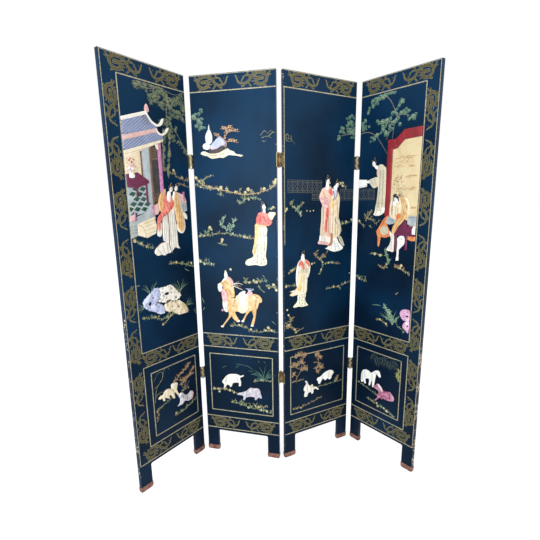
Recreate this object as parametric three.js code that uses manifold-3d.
// Four-panel folding lacquer screen. Each panel is a framed board on two legs, with copper
// foot caps, brass butt hinges and a picture of carved hardstone pieces laid on its front.
// Millimetres, +Z up. A panel's own axes: u across its front from the left edge, v from the
// front face to the back face, w up from the floor.
import * as THREE from "three";
import { mergeVertices } from "three/addons/utils/BufferGeometryUtils.js";
import Module from "manifold-3d";

const wasm = await Module();
wasm.setup();

// ---- Driving dimensions: millimetres and degrees ----
const SCREEN_HEIGHT = 1830; // floor to top edge
const PANEL_WIDTH = 392;
const PANEL_THICKNESS = 18;
const STILE_WIDTH = 60; // also the width of a leg
const TOP_RAIL_HEIGHT = 68;
const BOTTOM_RAIL_HEIGHT = 82;
const APRON_CLEARANCE = 118; // floor to the underside of the bottom rail
const LEG_FILLET = 7; // round between leg and bottom rail

const WOOD_CLEARANCE = 0.3; // around every tongue, tenon and shoulder
const TONGUE_THICKNESS = 6;
const TONGUE_LENGTH = 8; // of the core board, into stiles and rails
const TENON_LENGTH = 25; // of a rail, into a stile
const TENON_SHOULDER = 11; // rail height left above and below a tenon

const SABOT_HEIGHT = 25;
const SABOT_WALL = 0.9;
const SABOT_CORNER = 10;
const SABOT_CLEARANCE = 0.3;

const HINGE_LENGTH = 60;
const HINGE_UPPER_HEIGHT = 1472; // floor to the middle of a hinge
const HINGE_LOWER_HEIGHT = 443;
const HINGE_STAND_OFF = 12; // pin axis to the nearer panel face
const LEAF_THICKNESS = 2;
const LEAF_MARGIN = 1; // panel thickness left free beyond a leaf
const KNUCKLE_COUNT = 5;
const KNUCKLE_GAP = 0.4; // between neighbouring knuckles, and round a barrel
const PIN_RADIUS = 2.7;
const PIN_CLEARANCE = 0.3; // round the pin and under its heads
const PIN_HEAD_RADIUS = 4.2;
const PIN_HEAD_HEIGHT = 3;
const HINGE_SEAT = 0.3; // between a leaf and the panel edge

const SCREW_SPACING = 19; // three countersunk holes in a leaf
const SCREW_MOUTH_RADIUS = 3.3;
const SCREW_MOUTH_DEPTH = 1.5;
const SCREW_HOLE_RADIUS = 1.8;

const STONE_SEAT = 0.3; // between the stones and the panel
const STONE_RISE = 5; // of a stone that lies on the panel
const STONE_UPPER_RISE = 2.6; // of a stone that lies on another stone
const STONE_EDGE = 1.4; // width and height of a stone's worn edge
const STONE_JOINT = 1.2; // how far a stone runs into its neighbour in one figure

const FOLD_1_TO_2 = 69.6; // angle between two panels, 0 when they lie flat
const FOLD_2_TO_3 = 43.1;
const FOLD_3_TO_4 = 79.7;
const SECOND_PANEL_TURN = -13.8; // second panel's front against the viewer's left-right line

// The pictures are drawn on a sheet 392 units wide and 1830 units high, stretched with the panel.
const UNIT_ACROSS = PANEL_WIDTH / 392;
const UNIT_UP = SCREEN_HEIGHT / 1830;

const ROUND_SIDES = 10;
const SCREW_SIDES = 6;
const CORNER_STEPS = 3; // in a quarter round

// ---- Sizes that follow ----
const SHEET_OFFSET = SABOT_CLEARANCE + SABOT_WALL;
const APRON_TOP = APRON_CLEARANCE + BOTTOM_RAIL_HEIGHT;
const TOP_RAIL_BOTTOM = SCREEN_HEIGHT - TOP_RAIL_HEIGHT;
const INNER_LEFT = STILE_WIDTH;
const INNER_RIGHT = PANEL_WIDTH - STILE_WIDTH;
const MIDDLE = PANEL_THICKNESS / 2;
const BORE_RADIUS = PIN_RADIUS + PIN_CLEARANCE;
const BARREL_RADIUS = BORE_RADIUS + LEAF_THICKNESS;
const HINGE_GAP = 2 * (BARREL_RADIUS + HINGE_SEAT); // between two panels that lie flat
const KNUCKLE_LENGTH = (HINGE_LENGTH - (KNUCKLE_COUNT - 1) * KNUCKLE_GAP) / KNUCKLE_COUNT;
const HINGE_HEIGHTS = { upper: HINGE_UPPER_HEIGHT, lower: HINGE_LOWER_HEIGHT };

// ---- Finishes ----
function finish(color, roughness, metalness = 0) {
  return new THREE.MeshStandardMaterial({ color, roughness, metalness });
}

const LACQUER = finish("#17345a", 0.25);
const COPPER = finish("#a56e64", 0.4, 1);
const BRASS = finish("#c8b482", 0.35, 1);
const IVORY_STONE = finish("#f2ead8", 0.45);
const ROCK_STONE = finish("#cfc8cf", 0.5);
const ANIMAL_STONE = finish("#ece2cf", 0.45);

// ---- Solids ----
function solidOf(geometry) {
  const bare = geometry.clone();
  bare.deleteAttribute("normal");
  bare.deleteAttribute("uv");
  const welded = mergeVertices(bare, 1e-4);
  const corners = welded.index.array;
  const triangles = [];
  for (let i = 0; i < corners.length; i += 3) {
    const [a, b, c] = [corners[i], corners[i + 1], corners[i + 2]];
    if (a !== b && b !== c && c !== a) triangles.push(a, b, c);
  }
  return new wasm.Manifold(new wasm.Mesh({
    numProp: 3,
    vertProperties: new Float32Array(welded.attributes.position.array),
    triVerts: new Uint32Array(triangles),
  }));
}

function geometryOf(solid) {
  const mesh = solid.getMesh();
  const geometry = new THREE.BufferGeometry();
  geometry.setAttribute("position", new THREE.BufferAttribute(new Float32Array(mesh.vertProperties), 3));
  geometry.setIndex(new THREE.BufferAttribute(new Uint32Array(mesh.triVerts), 1));
  geometry.computeVertexNormals();
  return geometry;
}

function joined(solids) {
  return solids.reduce((all, solid) => all.add(solid));
}

function block(uRange, vRange, wRange) {
  const [u0, u1] = uRange;
  const [v0, v1] = vRange;
  const [w0, w1] = wRange;
  const box = new THREE.BoxGeometry(u1 - u0, v1 - v0, w1 - w0);
  box.translate((u0 + u1) / 2, (v0 + v1) / 2, (w0 + w1) / 2);
  return solidOf(box);
}

// A shape seen from the front, drawn in u and w, filled from one depth to another.
function frontPrism(shape, vRange) {
  const [front, back] = vRange;
  const prism = new THREE.ExtrudeGeometry(shape, {
    depth: back - front, bevelEnabled: false, curveSegments: CORNER_STEPS,
  });
  prism.rotateX(Math.PI / 2);
  prism.translate(0, back, 0);
  return solidOf(prism);
}

// A shape seen from above, drawn in u and v, filled from one height to another.
function planPrism(shape, wRange) {
  const [low, high] = wRange;
  const prism = new THREE.ExtrudeGeometry(shape, { depth: high - low, bevelEnabled: false });
  prism.translate(0, 0, low);
  return solidOf(prism);
}

function turned(profile, sides) {
  const points = profile.map(([radius, height]) => new THREE.Vector2(radius, height));
  const body = new THREE.LatheGeometry(points, sides);
  body.rotateX(Math.PI / 2);
  return body;
}

// ---- Woodwork ----
const TENON_V = [MIDDLE - TONGUE_THICKNESS / 2, MIDDLE + TONGUE_THICKNESS / 2];
const GROOVE_V = [TENON_V[0] - WOOD_CLEARANCE, TENON_V[1] + WOOD_CLEARANCE];
const FULL_V = [0, PANEL_THICKNESS];
const BOTTOM_TENON_W = [APRON_CLEARANCE + TENON_SHOULDER, APRON_TOP - TENON_SHOULDER];
const TOP_TENON_W = [TOP_RAIL_BOTTOM + TENON_SHOULDER, SCREEN_HEIGHT - TENON_SHOULDER];

function grown([low, high], margin) {
  return [low - margin, high + margin];
}

function mirrored([low, high]) {
  return [PANEL_WIDTH - high, PANEL_WIDTH - low];
}

function footOutline(left, right, bottom, top, corner) {
  const shape = new THREE.Shape();
  shape.moveTo(left, top);
  shape.lineTo(left, bottom + corner);
  shape.absarc(left + corner, bottom + corner, corner, Math.PI, 1.5 * Math.PI, false);
  shape.lineTo(right - corner, bottom);
  shape.absarc(right - corner, bottom + corner, corner, 1.5 * Math.PI, 2 * Math.PI, false);
  shape.lineTo(right, top);
  return shape;
}

function stile(side) {
  const place = side === "left" ? (range) => range : mirrored;
  const [left, right] = place([0, STILE_WIDTH]);
  const foot = footOutline(left, right, SHEET_OFFSET, SCREEN_HEIGHT, SABOT_CORNER - SABOT_WALL);
  const grooveU = place([STILE_WIDTH - TONGUE_LENGTH - WOOD_CLEARANCE, STILE_WIDTH + 1]);
  const mortiseU = place([STILE_WIDTH - TENON_LENGTH - WOOD_CLEARANCE, STILE_WIDTH + 1]);
  const cuts = [
    block(grooveU, GROOVE_V, [BOTTOM_TENON_W[1], TOP_TENON_W[0]]),
    block(mortiseU, GROOVE_V, grown(BOTTOM_TENON_W, WOOD_CLEARANCE)),
    block(mortiseU, GROOVE_V, grown(TOP_TENON_W, WOOD_CLEARANCE)),
  ];
  return frontPrism(foot, FULL_V).subtract(joined(cuts));
}

function topRail() {
  const left = INNER_LEFT + WOOD_CLEARANCE;
  const right = INNER_RIGHT - WOOD_CLEARANCE;
  const body = block([left, right], FULL_V, [TOP_RAIL_BOTTOM, SCREEN_HEIGHT]);
  const tenons = block([INNER_LEFT - TENON_LENGTH, INNER_RIGHT + TENON_LENGTH], TENON_V, TOP_TENON_W);
  const groove = block(
    [left - 1, right + 1], GROOVE_V,
    [TOP_RAIL_BOTTOM - 1, TOP_RAIL_BOTTOM + TONGUE_LENGTH + WOOD_CLEARANCE],
  );
  return body.subtract(groove).add(tenons);
}

function bottomRail() {
  const left = INNER_LEFT + WOOD_CLEARANCE;
  const right = INNER_RIGHT - WOOD_CLEARANCE;
  const foot = APRON_CLEARANCE - LEG_FILLET;
  const shape = new THREE.Shape();
  shape.moveTo(left, APRON_TOP);
  shape.lineTo(left, foot);
  shape.absarc(left + LEG_FILLET, foot, LEG_FILLET, Math.PI, Math.PI / 2, true);
  shape.lineTo(right - LEG_FILLET, APRON_CLEARANCE);
  shape.absarc(right - LEG_FILLET, foot, LEG_FILLET, Math.PI / 2, 0, true);
  shape.lineTo(right, APRON_TOP);
  const groove = block(
    [left - 1, right + 1], GROOVE_V,
    [APRON_TOP - TONGUE_LENGTH - WOOD_CLEARANCE, APRON_TOP + 1],
  );
  const tenonsU = [INNER_LEFT - TENON_LENGTH, INNER_RIGHT + TENON_LENGTH];
  return frontPrism(shape, FULL_V).subtract(groove).add(block(tenonsU, TENON_V, BOTTOM_TENON_W));
}

function coreBoard() {
  const fieldU = [INNER_LEFT + WOOD_CLEARANCE, INNER_RIGHT - WOOD_CLEARANCE];
  const fieldW = [APRON_TOP + WOOD_CLEARANCE, TOP_RAIL_BOTTOM - WOOD_CLEARANCE];
  const tongueU = [INNER_LEFT - TONGUE_LENGTH, INNER_RIGHT + TONGUE_LENGTH];
  const tongueW = [APRON_TOP - TONGUE_LENGTH, TOP_RAIL_BOTTOM + TONGUE_LENGTH];
  return block(fieldU, FULL_V, fieldW).add(block(tongueU, TENON_V, tongueW));
}

// A thin cup round the foot of a leg.
function sabot(side) {
  const [left, right] = side === "left" ? [0, STILE_WIDTH] : mirrored([0, STILE_WIDTH]);
  const outside = footOutline(left - SHEET_OFFSET, right + SHEET_OFFSET, 0, SABOT_HEIGHT, SABOT_CORNER);
  const inside = footOutline(
    left - SABOT_CLEARANCE, right + SABOT_CLEARANCE, SABOT_WALL, SABOT_HEIGHT + 1,
    SABOT_CORNER - SABOT_WALL,
  );
  const shell = frontPrism(outside, grown(FULL_V, SHEET_OFFSET));
  return shell.subtract(frontPrism(inside, grown(FULL_V, SABOT_CLEARANCE)));
}

// ---- Hinges ----
// A hinge edge: side is the panel edge it is on, face is the face its pin stands off.
// Out is measured from the panel edge into the gap, in from the pin's axis to the panel.
function edgePoint(side, face, out, inward) {
  const u = side === "right" ? PANEL_WIDTH + out : -out;
  const v = face === "front" ? inward - HINGE_STAND_OFF : PANEL_THICKNESS + HINGE_STAND_OFF - inward;
  return [u, v];
}

function edgeShape(side, face, points) {
  const corners = points.map(([out, inward]) => edgePoint(side, face, out, inward));
  return new THREE.Shape(corners.map((corner) => new THREE.Vector2(...corner)));
}

function leafRectangle(side, face, nearest) {
  const farthest = HINGE_STAND_OFF + PANEL_THICKNESS - LEAF_MARGIN;
  const plate = [HINGE_SEAT, HINGE_SEAT + LEAF_THICKNESS];
  return edgeShape(side, face, [
    [plate[0], nearest], [plate[1], nearest], [plate[1], farthest], [plate[0], farthest],
  ]);
}

// The plate of a leaf rolled once round the pin.
function rolledKnuckle(side, face) {
  const axis = HINGE_SEAT + BARREL_RADIUS;
  const rise = Math.sqrt(BARREL_RADIUS ** 2 - BORE_RADIUS ** 2);
  const start = Math.PI;
  const end = 2 * Math.PI + Math.atan2(rise, -BORE_RADIUS);
  const plateEnd = BARREL_RADIUS + 2 * KNUCKLE_GAP;
  const points = [[HINGE_SEAT, plateEnd]];
  for (let step = 0; step <= ROUND_SIDES; step += 1) {
    const angle = start + (end - start) * step / ROUND_SIDES;
    points.push([axis + BARREL_RADIUS * Math.cos(angle), BARREL_RADIUS * Math.sin(angle)]);
  }
  points.push([HINGE_SEAT + LEAF_THICKNESS, plateEnd]);
  const shape = edgeShape(side, face, points);
  const [boreU, boreV] = edgePoint(side, face, axis, 0);
  const bore = new THREE.Path();
  bore.absarc(boreU, boreV, BORE_RADIUS / Math.cos(Math.PI / ROUND_SIDES), 0, 2 * Math.PI, false);
  shape.holes.push(new THREE.Path(bore.getPoints(ROUND_SIDES / 2).slice(0, -1)));
  return shape;
}

function hingeLeaf(side, face, middle, firstKnuckle) {
  const bottom = middle - HINGE_LENGTH / 2;
  const leaf = leafRectangle(side, face, BARREL_RADIUS + KNUCKLE_GAP);
  const pieces = [planPrism(leaf, [bottom, bottom + HINGE_LENGTH])];
  for (let knuckle = firstKnuckle; knuckle < KNUCKLE_COUNT; knuckle += 2) {
    const low = bottom + knuckle * (KNUCKLE_LENGTH + KNUCKLE_GAP);
    pieces.push(planPrism(rolledKnuckle(side, face), [low, low + KNUCKLE_LENGTH]));
  }
  return joined(pieces).subtract(joined(screwHoles(side, middle)));
}

function hingePin() {
  const half = HINGE_LENGTH / 2 + PIN_CLEARANCE;
  const top = half + PIN_HEAD_HEIGHT;
  return turned([
    [0, -top], [PIN_HEAD_RADIUS * 0.6, -top + PIN_HEAD_HEIGHT * 0.2],
    [PIN_HEAD_RADIUS, -half - PIN_HEAD_HEIGHT * 0.4], [PIN_HEAD_RADIUS, -half],
    [PIN_RADIUS, -half], [PIN_RADIUS, half],
    [PIN_HEAD_RADIUS, half], [PIN_HEAD_RADIUS, half + PIN_HEAD_HEIGHT * 0.4],
    [PIN_HEAD_RADIUS * 0.6, top - PIN_HEAD_HEIGHT * 0.2], [0, top],
  ], ROUND_SIDES);
}

// Countersunk holes stand in a row up the middle of the panel edge.
function screwHoles(side, middle) {
  const face = HINGE_SEAT + LEAF_THICKNESS;
  return [-1, 0, 1].map((step) => {
    const hole = turned([
      [0, -1], [SCREW_HOLE_RADIUS, -1], [SCREW_HOLE_RADIUS, face - SCREW_MOUTH_DEPTH],
      [SCREW_MOUTH_RADIUS, face], [SCREW_MOUTH_RADIUS, face + 1], [0, face + 1],
    ], SCREW_SIDES);
    hole.rotateY(side === "right" ? Math.PI / 2 : -Math.PI / 2);
    hole.translate(side === "right" ? PANEL_WIDTH : 0, MIDDLE, middle + step * SCREW_SPACING);
    return solidOf(hole);
  });
}

// ---- Hardstone pictures ----
function onPanel([u, w]) {
  return new THREE.Vector2(u * UNIT_ACROSS, w * UNIT_UP);
}

function roundedOutline(points, steps) {
  const corners = points.map(([u, w]) => new THREE.Vector3(u, w, 0));
  const curve = new THREE.CatmullRomCurve3(corners, true, "centripetal");
  return curve.getPoints(points.length * steps).slice(0, -1).map(({ x, y }) => [x, y]);
}

function ellipse([u, w], [across, up], sides = 10) {
  const points = [];
  for (let step = 0; step < sides; step += 1) {
    const angle = 2 * Math.PI * step / sides;
    points.push([u + across * Math.cos(angle), w + up * Math.sin(angle)]);
  }
  return points;
}

// A flat-backed stone with its front edge worn off. An upper stone is let into the one below.
function stone({ outline, holes = [], soft = 0, upper = false }) {
  const points = soft ? roundedOutline(outline, soft) : outline;
  const shape = new THREE.Shape(points.map(onPanel));
  for (const hole of holes) shape.holes.push(new THREE.Path(hole.map(onPanel)));
  const rise = upper ? STONE_UPPER_RISE + STONE_JOINT : STONE_RISE;
  const edge = Math.min(STONE_EDGE, rise / 2);
  const plate = new THREE.ExtrudeGeometry(shape, {
    depth: rise - edge, bevelThickness: edge, bevelSize: edge,
    bevelOffset: STONE_JOINT - edge, bevelSegments: 1,
  });
  const seat = upper ? STONE_SEAT + STONE_RISE - STONE_JOINT : STONE_SEAT;
  return solidOf(plate).trimByPlane([0, 0, 1], 0).rotate([90, 0, 0]).translate([0, -seat, 0]);
}

const PAVILION = [
  { outline: [[67, 1545], [67, 1612], [181, 1651], [186, 1640], [203, 1617], [228, 1606], [246, 1615],
    [258, 1633], [264, 1630], [250, 1606], [229, 1592]] },
  { outline: [[67, 1527], [67, 1545], [226, 1592], [229, 1577]] },
  { outline: [[67, 1489], [67, 1527], [229, 1577], [238, 1574], [254, 1580], [280, 1601], [288, 1598],
    [262, 1570], [256, 1552]] },
  { outline: [[67, 1463], [67, 1489], [256, 1552], [254, 1542], [224, 1530], [224, 1509], [205, 1509]] },
  { outline: [[226, 1350], [226, 1530], [242, 1537], [242, 1350]] },
  { outline: [[67, 1400], [67, 1463], [190, 1504], [190, 1290], [143, 1290], [143, 1400]] },
  { outline: [[67, 1221], [67, 1400], [143, 1400], [143, 1290], [182, 1290], [182, 1242], [97, 1221]] },
  { outline: [[67, 1350], [67, 1404], [118, 1411], [168, 1380], [161, 1360], [158, 1292], [151, 1292],
    [151, 1358], [116, 1352], [114, 1315], [106, 1315], [106, 1351]], upper: true },
  { outline: [[97, 1221], [97, 1162], [140, 1148], [184, 1164], [188, 1198], [182, 1242]] },
  { outline: [[67, 1152], [67, 1221], [97, 1221], [97, 1160]] },
  { outline: [[175, 1644], [176, 1662], [184, 1677], [192, 1668], [194, 1640]] },
];

const PANEL_1_LADIES = [
  { outline: [[247, 1347], [225, 1332], [209, 1300], [214, 1265], [226, 1240], [222, 1180], [223, 1130],
    [246, 1122], [257, 1130], [257, 1250], [272, 1290], [268, 1330]], soft: 2 },
  { outline: [[284, 1352], [276, 1320], [282, 1290], [260, 1240], [260, 1080], [284, 1092], [298, 1104],
    [298, 1160], [289, 1250], [288, 1300], [296, 1342]], soft: 2 },
  { outline: [[303, 1345], [318, 1310], [330, 1270], [341, 1220], [344, 1180], [328, 1161], [310, 1172],
    [299, 1205], [290, 1260], [288, 1300]], soft: 2 },
  { outline: [[172, 1082], [180, 1098], [215, 1123], [246, 1124], [256, 1074], [222, 1065],
    [190, 1067]], soft: 2 },
  { outline: [[285, 1303], [287, 1278], [255, 1246], [225, 1232], [204, 1205], [197, 1222], [215, 1246],
    [232, 1264], [258, 1287]], upper: true },
  { outline: [[197, 1206], [207, 1204], [224, 1216], [222, 1172], [208, 1150], [196, 1152],
    [193, 1172]] },
  { outline: [[262, 1340], [268, 1362], [283, 1369], [292, 1363], [281, 1345], [274, 1333]] },
  { outline: [[298, 1345], [301, 1360], [309, 1371], [320, 1367], [315, 1352], [308, 1343]] },
  { outline: [[253, 1360], [255, 1380], [272, 1389], [295, 1384], [310, 1386], [318, 1374], [308, 1370],
    [297, 1366], [284, 1368], [266, 1360]] },
  { outline: [[336, 1247], [354, 1246], [361, 1234], [362, 1218], [351, 1222], [338, 1232]] },
  { outline: [[306, 1341], [346, 1324], [346, 1340], [354, 1340], [356, 1318], [366, 1292], [328, 1286],
    [318, 1312]] },
  { outline: [[330, 1288], [364, 1291], [366, 1256], [350, 1250], [336, 1252]] },
];

const PANEL_1_ROCKS = [
  { outline: [[95, 880], [98, 858], [120, 838], [150, 825], [172, 811], [197, 812], [194, 836],
    [178, 852], [160, 855], [160, 868], [179, 892], [177, 922], [160, 927], [140, 915], [112, 895]],
  holes: [ellipse([125, 866], [9, 8], 8)] },
  { outline: [[178, 926], [215, 928], [240, 932], [262, 915], [280, 895], [286, 880], [297, 868],
    [286, 855], [262, 852], [240, 855], [205, 848], [186, 856], [164, 864], [181, 892]],
  holes: [ellipse([217, 893], [13, 8], 8), ellipse([266, 866], [6, 5], 6)] },
  { outline: [[200, 847], [240, 854], [286, 853], [302, 835], [326, 810], [338, 783], [320, 776],
    [280, 778], [262, 790], [240, 800], [220, 805], [201, 818]] },
];

const PANEL_1_DOGS = [
  { outline: [[127, 412], [140, 423], [155, 423], [166, 437], [186, 440], [201, 432], [203, 450],
    [212, 456], [233, 453], [240, 445], [236, 430], [233, 415], [243, 390], [236, 384], [222, 408],
    [216, 398], [220, 379], [211, 379], [199, 401], [186, 403], [192, 392], [182, 390], [162, 405],
    [162, 391], [153, 391], [148, 409], [138, 407]] },
  { outline: [[231, 326], [248, 338], [250, 360], [240, 374], [242, 387], [262, 388], [275, 374],
    [290, 362], [310, 368], [324, 373], [336, 357], [331, 343], [322, 328], [300, 325], [290, 330],
    [275, 335], [262, 325], [246, 328]] },
];

const PANEL_2_LADY = [
  { outline: [[322, 1249], [306, 1241], [297, 1216], [298, 1190], [335, 1190], [356, 1188], [372, 1199],
    [368, 1216], [350, 1228], [344, 1246]], soft: 2 },
  { outline: [[298, 1190], [290, 1150], [281, 1100], [276, 1066], [284, 1058], [301, 1100], [343, 1142],
    [339, 1190]] },
  { outline: [[297, 1106], [280, 1064], [272, 1042], [250, 1032], [238, 1016], [243, 1005], [290, 1006],
    [338, 1004], [345, 1020], [338, 1050], [343, 1090], [345, 1140]] },
  { outline: [[348, 1228], [364, 1249], [386, 1249], [389, 1240], [372, 1216]] },
  { outline: [[325, 1246], [325, 1270], [333, 1288], [342, 1286], [341, 1265], [337, 1246]] },
  { outline: [[306, 1262], [304, 1285], [315, 1299], [330, 1295], [332, 1286], [325, 1268]] },
];

const PANEL_2_DEER = [
  { outline: [[148, 843], [180, 843], [205, 855], [250, 862], [278, 868], [303, 861], [316, 842],
    [312, 827], [302, 826], [294, 800], [290, 786], [284, 752], [271, 706], [254, 706], [260, 733],
    [270, 758], [266, 782], [258, 782], [238, 755], [222, 724], [210, 726], [222, 750], [238, 774],
    [215, 770], [182, 776], [160, 750], [131, 715], [115, 690], [104, 692], [112, 705], [134, 735],
    [143, 756], [139, 785], [140, 812], [147, 816]] },
  { outline: [[179, 772], [184, 752], [198, 731], [190, 722], [174, 733], [162, 748]] },
  { outline: [[112, 878], [118, 822], [152, 820], [152, 850], [179, 846], [177, 888], [170, 903],
    [128, 879], [119, 888]] },
  { outline: [[116, 826], [120, 786], [131, 770], [144, 772], [146, 826]] },
  { outline: [[95, 905], [110, 915], [125, 936], [148, 948], [168, 935], [177, 915], [170, 902],
    [128, 878], [119, 888], [105, 871], [95, 881]] },
  { outline: [[131, 940], [133, 972], [139, 978], [147, 958], [147, 945]] },
  { outline: [[205, 853], [215, 871], [232, 881], [246, 866], [248, 805], [237, 776], [216, 771],
    [196, 782], [190, 830]], soft: 2, upper: true },
  { outline: [[168, 912], [190, 919], [222, 912], [203, 907], [219, 890], [205, 885], [164, 898]] },
  { outline: [[250, 866], [252, 880], [262, 883], [271, 873], [268, 860], [256, 857]], upper: true },
];

const PANEL_2_CREAM_BOAR = [
  { outline: [[97, 405], [95, 395], [105, 386], [104, 370], [112, 368], [120, 385], [134, 382],
    [139, 373], [148, 381], [152, 395], [170, 402], [186, 400], [184, 385], [194, 384], [197, 408],
    [192, 428], [198, 436], [212, 440], [209, 447], [192, 443], [175, 447], [140, 445], [118, 432],
    [105, 415]] },
];

const PANEL_2_GREY_BOAR = [
  { outline: [[172, 337], [190, 335], [210, 332], [205, 312], [214, 308], [222, 325], [245, 332],
    [270, 332], [268, 318], [278, 318], [290, 335], [297, 326], [306, 334], [299, 350], [297, 370],
    [285, 382], [262, 379], [245, 381], [226, 363], [205, 352], [185, 346]] },
];

const PANEL_3_LADY_PAIR = [
  { outline: [[228, 1359], [206, 1352], [195, 1335], [189, 1318], [196, 1285], [208, 1268], [201, 1190],
    [199, 1141], [230, 1136], [254, 1140], [254, 1345], [246, 1359]] },
  { outline: [[256, 1352], [256, 1141], [290, 1124], [308, 1125], [317, 1175], [301, 1215], [305, 1300],
    [302, 1322], [290, 1340], [272, 1353]] },
  { outline: [[220, 1357], [222, 1380], [228, 1402], [240, 1402], [246, 1385], [237, 1357]] },
  { outline: [[272, 1350], [278, 1370], [286, 1386], [298, 1385], [298, 1374], [286, 1350]] },
  { outline: [[206, 1390], [207, 1412], [222, 1424], [245, 1418], [251, 1405], [240, 1402], [228, 1401],
    [220, 1384]] },
  { outline: [[266, 1383], [269, 1392], [284, 1399], [299, 1392], [294, 1386], [284, 1384],
    [276, 1372]] },
  { outline: [[228, 1072], [245, 1065], [280, 1053], [320, 1058], [334, 1068], [325, 1082], [300, 1104],
    [289, 1124], [256, 1141], [250, 1084]] },
  { outline: [[185, 1098], [192, 1113], [199, 1142], [228, 1138], [251, 1140], [251, 1084],
    [236, 1088]] },
  { outline: [[214, 1285], [222, 1296], [238, 1292], [236, 1240], [229, 1155], [218, 1154], [222, 1240]],
    upper: true },
  { outline: [[304, 1126], [320, 1126], [342, 1080], [333, 1081], [312, 1103]] },
];

const PANEL_3_LOWER_LADY = [
  { outline: [[92, 1028], [78, 1020], [66, 990], [62, 930], [72, 905], [60, 886], [27, 879], [27, 862],
    [44, 856], [70, 861], [116, 861], [123, 900], [125, 945], [136, 960], [141, 1000], [130, 1019],
    [106, 1028]] },
  { outline: [[75, 861], [72, 830], [48, 808], [50, 799], [90, 797], [130, 801], [120, 815], [112, 835],
    [117, 861]] },
  { outline: [[86, 1027], [83, 1046], [91, 1060], [104, 1060], [110, 1045], [111, 1026]] },
  { outline: [[78, 1056], [85, 1072], [100, 1077], [113, 1064], [118, 1042], [112, 1044], [105, 1063],
    [91, 1063]] },
];

const PANEL_3_BEAR = [
  { outline: [[188, 392], [199, 403], [216, 406], [235, 420], [262, 428], [285, 425], [296, 408],
    [282, 395], [278, 380], [265, 375], [258, 385], [240, 378], [228, 390], [218, 384], [208, 366],
    [198, 368], [196, 382]] },
];

const PANEL_3_LION = [
  { outline: [[116, 401], [127, 400], [136, 380], [150, 368], [162, 374], [168, 358], [182, 356],
    [200, 340], [194, 335], [180, 345], [168, 342], [168, 330], [158, 320], [154, 334], [135, 332],
    [129, 314], [112, 318], [117, 343], [108, 352], [113, 370], [124, 385]] },
];

const PANEL_4_LADIES_AND_FURNITURE = [
  { outline: [[161, 1228], [161, 1558], [202, 1558], [243, 1592], [327, 1594], [327, 1556], [246, 1551],
    [212, 1519], [188, 1516], [188, 1228]] },
  { outline: [[191, 1330], [191, 1512], [214, 1516], [249, 1547], [327, 1552], [327, 1234], [296, 1234],
    [291, 1280], [262, 1316]] },
  { outline: [[114, 1450], [102, 1435], [113, 1402], [119, 1350], [112, 1250], [99, 1238], [125, 1228],
    [160, 1242], [160, 1420], [150, 1445], [130, 1458]] },
  { outline: [[75, 1463], [79, 1476], [95, 1478], [115, 1456], [105, 1441], [88, 1451]] },
  { outline: [[76, 1475], [84, 1488], [105, 1490], [121, 1480], [114, 1470], [102, 1477], [90, 1478]] },
  { outline: [[2, 1354], [2, 1396], [51, 1392], [51, 1360]] },
  { outline: [[51, 1377], [51, 1388], [72, 1390], [85, 1397], [115, 1398], [120, 1362], [95, 1352],
    [80, 1362], [70, 1376]] },
  { outline: [[198, 1298], [190, 1262], [190, 1226], [176, 1216], [172, 1190], [190, 1183], [208, 1150],
    [224, 1150], [229, 1162], [262, 1205], [291, 1240], [287, 1275], [262, 1310], [240, 1314]] },
  { outline: [[200, 1302], [203, 1312], [216, 1318], [234, 1304], [241, 1286], [225, 1276], [209, 1286]],
    upper: true },
  { outline: [[186, 1330], [190, 1342], [206, 1338], [226, 1330], [247, 1305], [240, 1300], [232, 1312],
    [216, 1322], [200, 1318]], upper: true },
  { outline: [[188, 1229], [165, 1220], [140, 1192], [118, 1150], [128, 1128], [130, 1090], [138, 1086],
    [145, 1132], [162, 1128], [188, 1134], [190, 1180], [168, 1188], [173, 1218]] },
  { outline: ellipse([165, 1160], [21, 21], 12), upper: true },
  { outline: [[194, 1152], [210, 1154], [222, 1134], [221, 1068], [182, 1068], [198, 1105]] },
  { outline: [[224, 1150], [274, 1212], [329, 1186], [328, 1140], [285, 1140], [290, 1082], [280, 1082],
    [277, 1138], [236, 1140], [234, 1068], [224, 1068]] },
  { outline: [[238, 1036], [238, 1141], [252, 1141], [272, 1140], [275, 1106], [258, 1090], [246, 1076],
    [246, 1036]] },
  { outline: [[288, 1192], [291, 1229], [328, 1229], [328, 1190], [308, 1186]], upper: true },
];

const PANEL_4_HORSES = [
  { outline: [[66, 364], [68, 410], [76, 432], [95, 438], [125, 432], [140, 441], [155, 453], [176, 456],
    [187, 428], [178, 423], [160, 438], [156, 410], [152, 392], [148, 359], [139, 358], [135, 390],
    [130, 378], [125, 359], [116, 360], [121, 391], [100, 389], [92, 378], [97, 361], [88, 360],
    [80, 372], [77, 362]] },
  { outline: [[147, 361], [162, 372], [168, 385], [186, 384], [206, 360], [226, 366], [246, 368],
    [263, 355], [272, 339], [268, 327], [250, 322], [230, 318], [210, 319], [201, 311], [190, 317],
    [165, 290], [159, 292], [175, 315], [172, 325], [182, 345], [166, 352]] },
];

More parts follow.
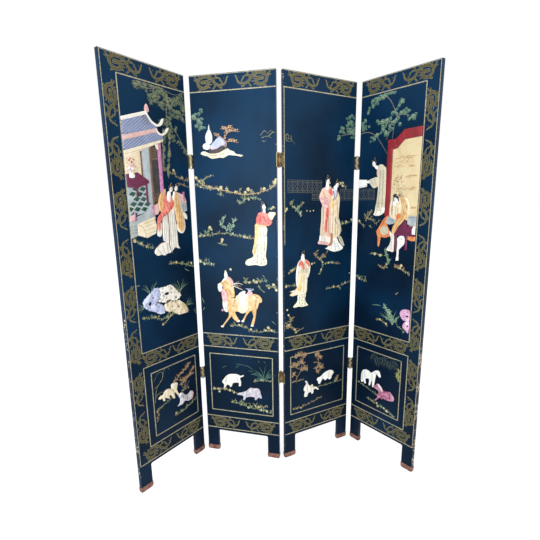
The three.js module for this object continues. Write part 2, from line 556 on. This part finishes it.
const PICTURES = {
  panel_1: {
    pavilion_stones: [PAVILION, ROCK_STONE],
    lady_stones: [PANEL_1_LADIES, IVORY_STONE],
    garden_rock_stones: [PANEL_1_ROCKS, ROCK_STONE],
    dog_pair_stones: [PANEL_1_DOGS, ANIMAL_STONE],
  },
  panel_2: {
    lady_stones: [PANEL_2_LADY, IVORY_STONE],
    deer_stones: [PANEL_2_DEER, ANIMAL_STONE],
    cream_boar_stone: [PANEL_2_CREAM_BOAR, ANIMAL_STONE],
    grey_boar_stone: [PANEL_2_GREY_BOAR, ANIMAL_STONE],
  },
  panel_3: {
    lady_pair_stones: [PANEL_3_LADY_PAIR, IVORY_STONE],
    lower_lady_stones: [PANEL_3_LOWER_LADY, IVORY_STONE],
    bear_stone: [PANEL_3_BEAR, ANIMAL_STONE],
    lion_stone: [PANEL_3_LION, ANIMAL_STONE],
  },
  panel_4: {
    lady_and_furniture_stones: [PANEL_4_LADIES_AND_FURNITURE, IVORY_STONE],
    horse_pair_stones: [PANEL_4_HORSES, ANIMAL_STONE],
  },
};

// ---- Assembly ----
function addPart(group, name, solid, material) {
  const mesh = new THREE.Mesh(solid.isBufferGeometry ? solid : geometryOf(solid), material);
  mesh.name = name;
  group.add(mesh);
  return mesh;
}

function buildPanel(name) {
  const panel = new THREE.Group();
  for (const side of ["left", "right"]) {
    addPart(panel, `${name}_${side}_stile`, stile(side), LACQUER);
    addPart(panel, `${name}_${side}_sabot`, sabot(side), COPPER);
  }
  addPart(panel, `${name}_top_rail`, topRail(), LACQUER);
  addPart(panel, `${name}_bottom_rail`, bottomRail(), LACQUER);
  addPart(panel, `${name}_core_board`, coreBoard(), LACQUER);
  for (const [picture, [stones, material]] of Object.entries(PICTURES[name])) {
    addPart(panel, `${name}_${picture}`, joined(stones.map((one) => stone(one))), material);
  }
  return panel;
}

// Two panels, their pair of hinges and the pins. The carrier holds the pins and the
// outer knuckles; the other panel hangs on it and is put in a group that turns.
function hangPanel({ carrier, carrierSide, hung, hungSide, face, names, angle }) {
  const axisOut = HINGE_GAP / 2;
  const [pinU, pinV] = edgePoint(carrierSide, face, axisOut, 0);
  const fold = new THREE.Group();
  fold.position.set(pinU, pinV, 0);
  fold.rotation.z = THREE.MathUtils.degToRad(angle);
  const [hungPinU, hungPinV] = edgePoint(hungSide, face, axisOut, 0);
  hung.position.set(-hungPinU, -hungPinV, 0);
  fold.add(hung);
  carrier.add(fold);
  for (const [level, middle] of Object.entries(HINGE_HEIGHTS)) {
    const label = `hinge_${names}_${level}`;
    addPart(carrier, `${label}_three_knuckle_leaf`, hingeLeaf(carrierSide, face, middle, 0), BRASS);
    addPart(hung, `${label}_two_knuckle_leaf`, hingeLeaf(hungSide, face, middle, 1), BRASS);
    const pin = addPart(carrier, `${label}_pin`, hingePin(), BRASS);
    pin.position.set(pinU, pinV, middle);
  }
}

const panel1 = buildPanel("panel_1");
const panel2 = buildPanel("panel_2");
const panel3 = buildPanel("panel_3");
const panel4 = buildPanel("panel_4");

hangPanel({
  carrier: panel2, carrierSide: "left", hung: panel1, hungSide: "right", face: "front",
  names: "1_2", angle: FOLD_1_TO_2,
});
hangPanel({
  carrier: panel2, carrierSide: "right", hung: panel3, hungSide: "left", face: "back",
  names: "2_3", angle: FOLD_2_TO_3,
});
hangPanel({
  carrier: panel3, carrierSide: "right", hung: panel4, hungSide: "left", face: "front",
  names: "3_4", angle: -FOLD_3_TO_4,
});

const screen = new THREE.Group();
panel2.rotation.z = THREE.MathUtils.degToRad(SECOND_PANEL_TURN);
screen.add(panel2);

// The origin is on the floor, under the middle of the opened screen.
screen.updateMatrixWorld(true);
const reach = new THREE.Box3().setFromObject(screen, true);
screen.position.set(-(reach.min.x + reach.max.x) / 2, -(reach.min.y + reach.max.y) / 2, 0);

export default screen;
